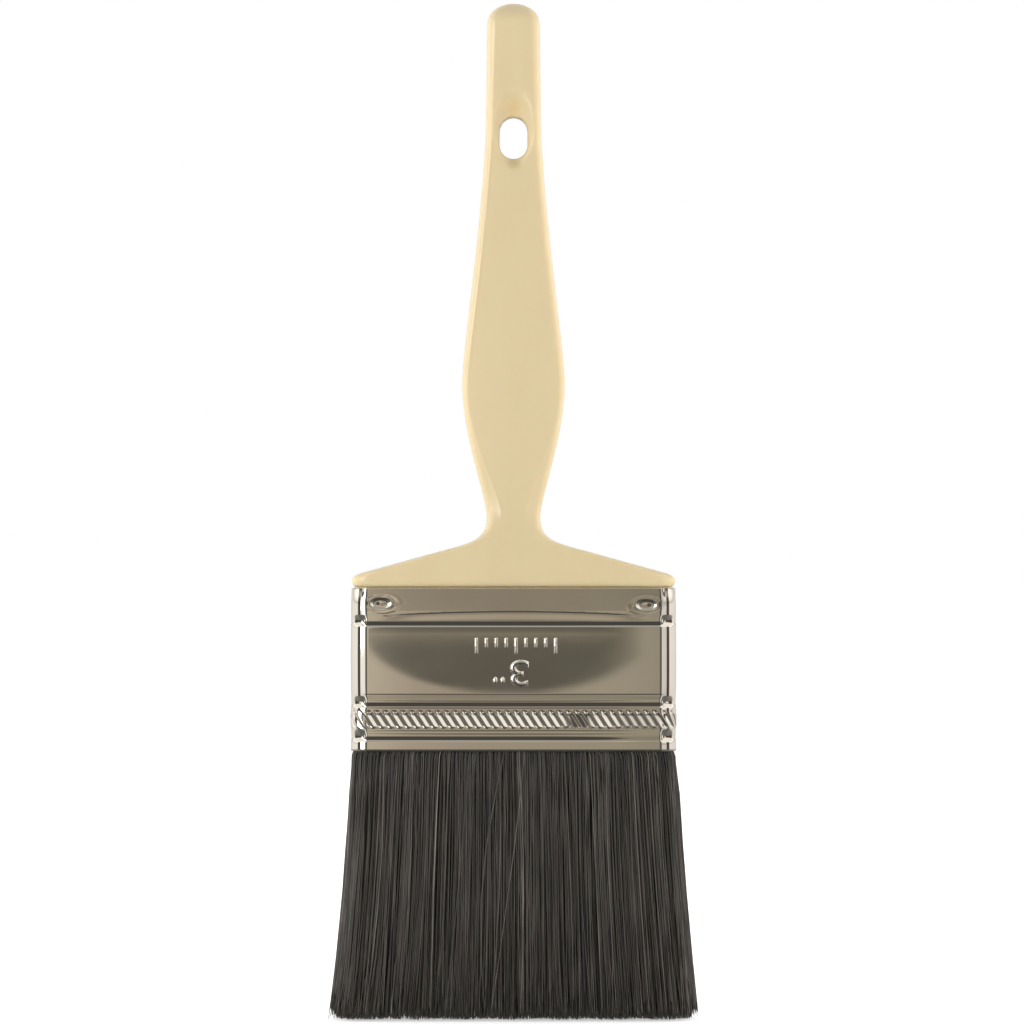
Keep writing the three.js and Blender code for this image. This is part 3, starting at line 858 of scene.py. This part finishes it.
# where they are, as shares of the way from butt to tip
STRAND_LEVELS = np.array([0.0, 0.216, 0.238, 0.36, 0.51, 0.67, 0.84, 0.985, 1.0])
STRAND_RADII = (0.13, 0.20)
TIP_GIRTH = 0.3  # of the radius, at the very tip
WANDER = 0.6  # how far from its place a tip ends up, sideways
STRAYS = {"share": 0.035, "wander": 2.6}
CROSSING = {"share": 0.0008, "wander": 4.5}  # single strands that lie across the others
BEND = 0.45
LEANING = {"share": 0.02, "by": 2.0}
LIFT = 0.22  # how far the outermost strands stand off
SHORT = {"share": 0.3, "by": 6}
NOTCH = {"across": -0.59, "reach": 0.035, "depth": 0.9}  # a small gap cut in the tips
CORNER_CUT = {"from": 0.955, "rise": 2.2}
CHISEL = {"flat": 4.6, "over": 5.3, "rise": 2.6, "curve": 1.5}  # the outer strands are cut shorter
PACK_HALF_X = 37.1
PACK_HALF_Y = 7.3
SPACED = 4.05  # where the outer layers begin, outside the spacers
CLOSED_ENDS = (0.925, 0.965)  # share of the half width over which the layers close up past the spacers
MIDDLE = {"root": 1.45, "tip": 3.05}


def spread_at(below, curve=FLARE["curve"]):
    swell = MOUTH_SWELL["width"] * (1 - np.exp(-below / MOUTH_SWELL["within"]))
    return swell + FLARE["width"] * (below / MOUTH) ** curve


def layer_depths(side, below, across):
    """The inner and outer face of a layer of filaments at a distance below the ferrule."""
    # beyond the ends of the spacers the layers lie against each other from the start
    closing = np.maximum(np.minimum(1, below / LAYERS_MEET), ease(*CLOSED_ENDS, np.abs(across)))
    middle = MIDDLE["root"] + (MIDDLE["tip"] - MIDDLE["root"]) * closing
    # where the layers have closed up, the line between them wanders
    waver = 0.5 * closing**2 * np.sin(across * 31 + 1.3 * np.sin(across * 12))
    if side == 0:
        return waver - middle, waver + middle
    inner = SPACED + (MIDDLE["tip"] - SPACED) * closing
    outer = PACK_HALF_Y + spread_at(below) * FLARE["depth"] / FLARE["width"]
    return waver + side * inner, side * outer


def strand_roots(count, random):
    """Even but irregular places over a layer: across it, and from its inner to its outer face."""
    across = random.permutation((np.arange(count) + random.random(count)) / count)
    depth = random.random(count)
    return across * 2 - 1, depth


def make_filaments(name, node, side, count, seed, material):
    random = np.random.default_rng(seed)
    across, depth = strand_roots(count, random)
    shade = np.clip(random.beta(1.6, 3.2, count), 0, 1)
    wander = random.normal(0, WANDER, count)
    strays = random.random(count) < STRAYS["share"]
    wander = np.where(strays, random.normal(0, STRAYS["wander"], count), wander)
    crossing = random.random(count) < CROSSING["share"]
    wander = np.where(crossing, random.normal(0, CROSSING["wander"], count), wander)
    depth = np.where(crossing, 1.0, depth)
    bend = random.normal(0, BEND, count)
    lean = np.where(random.random(count) < LEANING["share"], random.normal(0, LEANING["by"], count), 0)
    clump = np.sin(across * 83 + 2.1 * np.sin(across * 17 + seed)) * 0.08
    outwards = np.abs(random.normal(0, LIFT, count)) * (depth > 0.8)
    trim = 0.05 + np.abs(random.normal(0, 0.22, count)) + 0.1 * (1 + np.sin(across * 23 + seed))
    short = random.random(count) < SHORT["share"] * (1 + ease(0.6, 0.8, depth))
    trim = np.where(short, trim + random.random(count) ** 1.5 * SHORT["by"], trim)
    trim += NOTCH["depth"] * bump(NOTCH["across"], NOTCH["reach"], across)
    corner_cut = CORNER_CUT["rise"] * ease(CORNER_CUT["from"], 1.0, np.abs(across))
    radius = random.uniform(*STRAND_RADII, count)
    twist = random.uniform(0, 2 * np.pi, count)

    levels = STRAND_LEVELS[None, :]
    in_face, out_face = layer_depths(side, MOUTH, across)
    tip_y = np.abs(in_face + (out_face - in_face) * depth)
    rise = CHISEL["rise"] * np.clip((tip_y - CHISEL["flat"]) / CHISEL["over"], 0, 1) ** CHISEL["curve"]
    tip_z = trim + rise + corner_cut
    z = BUTTS - 0.1 + (tip_z[:, None] - BUTTS + 0.1) * levels
    below = np.clip(MOUTH - z, 0, None)
    down = below / MOUTH
    curve = np.where(across < 0, FLARE["left_curve"], FLARE["curve"])[:, None]
    spread = spread_at(below, curve)
    x = across[:, None] * (PACK_HALF_X - 0.2 + spread) + lean[:, None] * np.sin(np.pi * down)
    x = x + wander[:, None] * down**1.3 + clump[:, None] * down + bend[:, None] * np.sin(np.pi * down)
    limit = PACK_HALF_X + spread + 0.15
    x = np.clip(x, -limit, limit)
    inner, outer = layer_depths(side, below, across[:, None])
    y = inner + (outer - inner) * (0.02 + 0.96 * depth[:, None])
    y = y + (side or 1) * outwards[:, None] * np.sin(np.pi * down) * (side != 0)
    beyond = np.clip(np.abs(x) - FLAT_X, 0, None) / (PACK_HALF_X + 0.3 - FLAT_X + spread)
    corner_y = PACK_HALF_Y + 0.1 - FLAT_Y + spread * FLARE["depth"] / FLARE["width"]
    corner_y = FLAT_Y + corner_y * np.sqrt(np.clip(1 - beyond**2, 0, 1))
    y = np.clip(y, -corner_y, corner_y)
    taper = 1 - 0.45 * levels**3
    taper = np.where(levels == 1, TIP_GIRTH, taper)
    girth = radius[:, None] * taper

    rim = twist[:, None, None] + np.arange(3)[None, None, :] * (2 * np.pi / 3)
    points = np.empty((count, STRAND_RINGS, 3, 3))
    points[..., 0] = x[..., None] + girth[..., None] * np.cos(rim)
    points[..., 1] = y[..., None] + girth[..., None] * np.sin(rim)
    points[..., 2] = z[..., None]
    piece = strands_mesh(name, points * MM)
    per_strand = STRAND_RINGS * 3
    set_attribute(piece, "strand_shade", np.repeat(shade, per_strand))
    set_attribute(piece, "strand_height", np.repeat(np.clip(z / MOUTH, 0, 1).ravel(), 3))
    finish_piece(piece, "dark_filament", material, node)


def set_attribute(piece, name, values):
    attribute = piece.data.attributes.new(name, "FLOAT", "POINT")
    attribute.data.foreach_set("value", values.astype(np.float32))


def strands_mesh(name, points):
    """One mesh of three-sided strands, each closed at both ends."""
    count, rings = points.shape[:2]
    first = (np.arange(count) * rings * 3)[:, None, None]
    ring = (np.arange(rings - 1) * 3)[None, :, None]
    k = np.arange(3)[None, None, :]
    after = (k + 1) % 3
    a, b = first + ring + k, first + ring + after
    walls = np.stack([a, a + 3, b + 3, b], axis=-1).reshape(-1, 4)
    butt = first.ravel()[:, None] + np.array([0, 1, 2])
    tip = first.ravel()[:, None] + (rings - 1) * 3 + np.array([2, 1, 0])
    mesh = bpy.data.meshes.new(name)
    mesh.from_pydata(points.reshape(-1, 3).tolist(), [], walls.tolist() + butt.tolist() + tip.tolist())
    mesh.polygons.foreach_set("use_smooth", np.ones(len(mesh.polygons), bool))
    piece = bpy.data.objects.new(name, mesh)
    bpy.context.scene.collection.objects.link(piece)
    return piece


# --- studio -------------------------------------------------------------------------------------

FRAME_MM = 239.7  # what the camera takes in at the brush
CAMERA_MM = 1200
VIEW_CENTRE = (-0.35, 118.57)


def make_camera():
    bpy.ops.object.camera_add(location=(VIEW_CENTRE[0] * MM, -CAMERA_MM * MM, VIEW_CENTRE[1] * MM))
    camera = bpy.context.object
    camera.rotation_euler = (math.radians(90), 0, 0)
    camera.data.sensor_width = 36
    camera.data.lens = 36 * CAMERA_MM / FRAME_MM
    camera.data.clip_end = 50
    bpy.context.scene.camera = camera


def make_floor():
    bpy.ops.mesh.primitive_circle_add(vertices=96, radius=12, fill_type="NGON")
    floor = start_piece("studio_floor")
    white = Finish("studio_white", Base_Color=(0.9, 0.9, 0.9, 1), Roughness=0.9, Emission_Color=(1, 1, 1, 1))
    white.shader.inputs["Emission Strength"].default_value = 0.5
    # seen from underneath, the floor is clear
    clear = white.add("ShaderNodeBsdfTransparent").outputs[0]
    under = white.add("ShaderNodeNewGeometry").outputs["Backfacing"]
    both = white.add("ShaderNodeMixShader", {"Fac": under})
    white.tree.links.new(white.shader.outputs[0], both.inputs[1])
    white.tree.links.new(clear, both.inputs[2])
    white.tree.links.new(both.outputs[0], white.tree.nodes["Material Output"].inputs["Surface"])
    floor.data.materials.append(white.material)
    floor.visible_glossy = False


def soft_light(name, place, aim, size, power, in_reflections):
    bpy.ops.object.light_add(type="AREA", location=place)
    lamp = bpy.context.object
    lamp.name = name
    lamp.data.shape = "RECTANGLE"
    lamp.data.size, lamp.data.size_y = size
    lamp.data.energy = power
    lamp.rotation_euler = (Vector(aim) - Vector(place)).to_track_quat("-Z", "Y").to_euler()
    lamp.visible_glossy = in_reflections
    lamp.visible_camera = False


def degrees_round(*stops):
    """Stops of a ramp once round the room, given in degrees from straight ahead, right being positive."""
    return [(0.5 + angle / 360, value) for angle, value in stops]


ROOM_AROUND = degrees_round(
    (-180, 0.6),
    (-120, 1.05),
    (-75, 1.12),
    (-70, 0.08),
    (-54, 0.08),
    (-50, 1.15),
    (-20, 1.15),
    (-16, 0.12),
    (-8.5, 0.12),
    (-6, (0.64, 0.58, 0.49)),
    (-3.9, (0.64, 0.58, 0.49)),
    (-3.3, (0.51, 0.455, 0.385)),
    (-2, (0.455, 0.405, 0.34)),
    (0, (0.43, 0.385, 0.32)),
    (1.8, (0.45, 0.405, 0.335)),
    (2.8, (0.44, 0.405, 0.335)),
    (3.6, (0.30, 0.275, 0.23)),
    (3.95, (0.38, 0.35, 0.295)),
    (6, (0.375, 0.345, 0.285)),
    (8.5, 0.12),
    (16, 0.10),
    (20, 0.85),
    (50, 0.8),
    (54, (0.13, 0.07, 0.065)),
    (70, (0.10, 0.07, 0.065)),
    (75, 1.05),
    (120, 1.0),
    (180, 0.6),
)
# how bright the front of the room is from low to high, in degrees above the level
FRONT_LAYERS = [(-9, 0.8), (-5, 0.95), (-2, 1.0), (0.5, 1.0), (1.4, 0.98), (2.2, 0.72), (3.2, 0.7)]
FRONT_LAYERS += [(6, 1.0), (13, 1.4)]
CEILING = {"from": 13.0, "over": 9.0}  # degrees
GROUND = {"from": -9.0, "over": 6.0}


def make_room():
    """A white room whose reflections have the shape of a studio: softboxes, dark gaps and a dim front."""
    world = bpy.data.worlds.new("studio_room")
    bpy.context.scene.world = world
    world.use_nodes = True
    tree = world.node_tree
    tree.nodes.clear()

    def calculate(operation, *sources):
        node = add_node(tree, "ShaderNodeMath", operation=operation)
        for socket, source in zip(node.inputs, sources):
            if isinstance(source, (int, float)):
                socket.default_value = source
            else:
                tree.links.new(source, socket)
        return node.outputs[0]

    def minus(first, second):
        return calculate("SUBTRACT", first, second)

    def times(first, second):
        return calculate("MULTIPLY", first, second)

    def over(first, second):
        return calculate("DIVIDE", first, second)

    def largest(first, second):
        return calculate("MAXIMUM", first, second)

    look = add_node(tree, "ShaderNodeTexCoord").outputs["Generated"]
    parts = add_node(tree, "ShaderNodeSeparateXYZ", {"Vector": look}).outputs
    degrees = 180 / math.pi
    turn = times(calculate("ARCTAN2", parts["X"], times(parts["Y"], -1.0)), degrees)  # from straight ahead
    rise = times(calculate("ARCSINE", parts["Z"]), degrees)
    share_round = calculate("ADD", over(turn, 360.0), 0.5)
    share_up = calculate("ADD", over(rise, 180.0), 0.5)
    around = add_ramp(tree, share_round, *ROOM_AROUND)
    layers = add_ramp(tree, share_up, *((0.5 + angle / 180, value) for angle, value in FRONT_LAYERS))
    room = add_mix(tree, around, layers)
    above = largest(over(minus(rise, CEILING["from"]), CEILING["over"]), 0.0)
    above = calculate("SMOOTH_MIN", 1.0, above, 0.05)
    below = calculate("MINIMUM", 1.0, largest(over(minus(GROUND["from"], rise), GROUND["over"]), 0.0))
    ceiling = add_ramp(tree, share_round, *degrees_round((-22, 1.15), (-14, 0.46), (14, 0.46), (22, 1.15)))
    room = add_mix(tree, room, ceiling, above, "MIX")
    ground_sides = [(-180, 0.45), (-110, 0.4), (-60, 0.17), (-26, 0.17), (-12, 0.08)]
    ground_sides += [(-angle, value) for angle, value in reversed(ground_sides)]
    ground = add_ramp(tree, share_round, *degrees_round(*ground_sides))
    room = add_mix(tree, room, ground, below, "MIX")

    # the dim shape straight ahead: fading out at its flat top, round below, and lighter towards its right
    half_width = minus(4.15, times(calculate("GREATER_THAN", turn, 0.0), 0.55))
    across = calculate("POWER", calculate("ABSOLUTE", over(turn, half_width)), 2.2)
    down = calculate("POWER", calculate("ABSOLUTE", over(minus(rise, 0.3), 3.8)), 2.2)
    outside = minus(calculate("ADD", across, down), 1.0)
    crispness = largest(minus(5.5, times(turn, 0.7)), 3.0)
    edge = calculate("ADD", times(outside, crispness), 0.5)
    top = calculate("POWER", 20.0, minus(rise, 0.2))
    right = calculate("POWER", largest(over(minus(turn, 1.9), 1.75), 0.0), 2.8)
    dim = add_ramp(tree, largest(largest(edge, top), right), (0.0, (0.32, 0.335, 0.35)), (1.0, 1.0))
    room = add_mix(tree, room, dim)

    # only reflections see that room: what lights the brush is softer, and behind it all is white
    soft = add_ramp(tree, share_up, (0.2, 0.4), (0.5, 0.62), (0.75, 0.48))
    path = add_node(tree, "ShaderNodeLightPath")
    lit = add_mix(tree, soft, room, path.outputs["Is Glossy Ray"], "MIX")
    seen = add_mix(tree, lit, (1.0, 1.0, 1.0, 1.0), path.outputs["Is Camera Ray"], "MIX")
    background = add_node(tree, "ShaderNodeBackground", {"Color": seen}, Strength=1.0)
    add_node(tree, "ShaderNodeOutputWorld", {"Surface": background.outputs[0]})


def make_studio():
    make_camera()
    make_floor()
    make_room()
    soft_light("key_light", (-1.1, -1.4, 0.4), (0, 0, 0.14), (0.7, 0.7), 8, True)
    soft_light("fill_light", (1.2, -1.2, 0.35), (0, 0, 0.12), (0.9, 0.9), 4, False)
    soft_light("left_side_light", (-1.3, 0.1, 0.2), (0, 0, 0.15), (1.2, 1.2), 18, False)
    soft_light("right_side_light", (1.3, 0.1, 0.2), (0, 0, 0.15), (1.2, 1.2), 19, False)
    soft_light("backdrop_light", (0, 1.3, 0.25), (0, 0, 0.16), (1.6, 1.6), 7, False)
    scene = bpy.context.scene
    scene.view_settings.view_transform = "Standard"
    scene.view_settings.look = "None"


# --- the brush ----------------------------------------------------------------------------------


def dress_inner_pieces():
    """The epoxy and the spacers keep the frame's shape and get their own finish."""
    finishes = {"epoxy_setting": setting_epoxy(), "front_spacer": spacer_wood()}
    finishes["back_spacer"] = finishes["front_spacer"]
    for node, material in finishes.items():
        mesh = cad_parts[node].data
        mesh.materials.clear()
        mesh.materials.append(material)


make_handle(handle_plastic())
make_ferrule(nickel_plate())
filament = dark_filament()
# piece, the node it replaces, its side, how many strands, and the seed of their places
make_filaments("front_filament_layer", "front_filaments", -1, 3950, 11, filament)
make_filaments("middle_filament_layer", "middle_filaments", 0, 3000, 12, filament)
make_filaments("back_filament_layer", "back_filaments", 1, 3950, 13, filament)
dress_inner_pieces()
make_studio()
